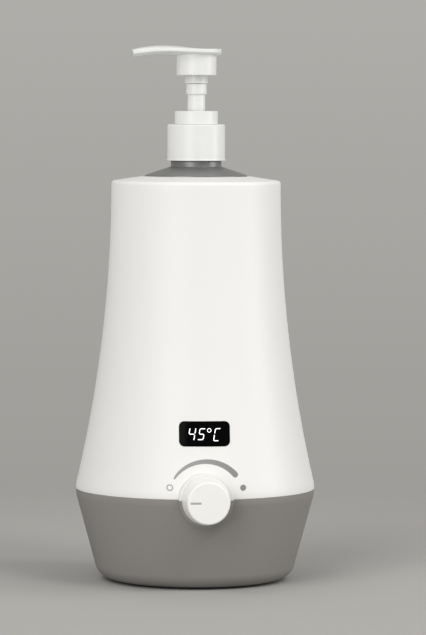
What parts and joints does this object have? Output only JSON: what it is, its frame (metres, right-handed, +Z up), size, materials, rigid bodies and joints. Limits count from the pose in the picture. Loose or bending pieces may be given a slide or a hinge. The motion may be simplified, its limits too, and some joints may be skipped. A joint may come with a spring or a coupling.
{
  "type": "massage oil warmer",
  "caption": "Flared table-top oil warmer with a rotary heat knob, digital read-out and a lift-out bottle with a lotion pump, heated in an inner well.",
  "frame": {"origin": "on the object's upright axis, on the surface it stands on", "axes": "+Z up along the axis, -Y to the front with the display and knob, -X the way the spout points"},
  "size_m": [0.134, 0.1529, 0.2995],
  "materials": {
    "white_housing_plastic": "satin moulded white",
    "grey_base_plastic": "matte moulded grey",
    "white_knob_plastic": "satin moulded white",
    "grey_print": "grey inlay",
    "black_window_acrylic": "polished smoked black",
    "black_component_plastic": "moulded black",
    "circuit_board": "green solder mask",
    "zinc_steel": "zinc plated",
    "shaft_aluminium": "turned",
    "well_aluminium": "deep drawn",
    "foot_rubber": "matte black rubber",
    "silicone_seal": "translucent silicone",
    "heater_silicone": "ribbed silicone mat",
    "insulation_felt": "needled felt",
    "lead_insulation": "silicone insulated wire",
    "grey_bottle_plastic": "satin blow moulded grey",
    "white_pump_plastic": "moulded white",
    "natural_pump_plastic": "natural moulded",
    "spring_steel": "drawn stainless wire"
  },
  "bodies": {
    "housing": {"upper_housing": "white_housing_plastic", "base_housing": "grey_base_plastic", "housing_screws": "zinc_steel", "ring_foot": "foot_rubber", "display_window": "black_window_acrylic", "digit_display": "black_component_plastic", "display_board": "circuit_board", "display_screws": "zinc_steel", "potentiometer": "zinc_steel", "control_board": "circuit_board", "board_parts": "black_component_plastic", "board_screws": "zinc_steel", "heater_well": "well_aluminium", "well_gasket": "silicone_seal", "well_screws": "zinc_steel", "heater_band": "heater_silicone", "insulation_sleeve": "insulation_felt", "temperature_sensor": "black_component_plastic", "thermal_fuse": "zinc_steel", "power_inlet": "black_component_plastic", "inlet_nut": "zinc_steel", "heater_leads": "lead_insulation", "sensor_leads": "lead_insulation", "display_leads": "lead_insulation", "power_leads": "lead_insulation"},
    "knob": {"knob": "white_knob_plastic", "knob_pointer": "grey_print", "pot_shaft": "shaft_aluminium"},
    "bottle": {"bottle": "grey_bottle_plastic"},
    "pump_body": {"pump_housing": "natural_pump_plastic", "chaplet": "white_pump_plastic", "pump_gasket": "silicone_seal", "dip_tube": "natural_pump_plastic", "ball_valve": "spring_steel", "pump_spring": "spring_steel"},
    "closure": {"closure_cap": "white_pump_plastic"},
    "plunger": {"piston": "natural_pump_plastic", "piston_rod": "natural_pump_plastic"},
    "head": {"pump_stem": "white_pump_plastic", "pump_head": "white_pump_plastic"}
  },
  "joints": [
    {"name": "knob_turn", "type": "hinge", "parent": "housing", "child": "knob", "pos_m": [0, -0.0715, 0.0515], "axis": [0, 1, 0], "range_deg": [0, 180]},
    {"name": "bottle_lift", "type": "slide", "parent": "housing", "child": "bottle", "axis": [0, 0, 1], "range_m": [0, 0.16]},
    {"name": "pump_rise", "type": "slide", "parent": "bottle", "child": "pump_body", "axis": [0, 0, 1], "range_m": [0, 0.00636]},
    {"name": "closure_turn", "type": "hinge", "parent": "pump_body", "child": "closure", "pos_m": [0, 0, 0.2556], "axis": [0, 0, 1], "range_deg": [0, 540]},
    {"name": "pump_press", "type": "slide", "parent": "pump_body", "child": "plunger", "axis": [0, 0, -1], "range_m": [0, 0.017], "stiffness_N_per_m": 600, "springref_m": -0.008, "deforming": ["pump_spring"]},
    {"name": "head_swivel", "type": "hinge", "parent": "plunger", "child": "head", "pos_m": [0, 0, 0.2829], "axis": [0, 0, 1], "continuous": true}
  ],
  "couplings": [
    {"joint": "pump_rise", "follows": "closure_turn", "m_per_rad": 0.00067373}
  ]
}
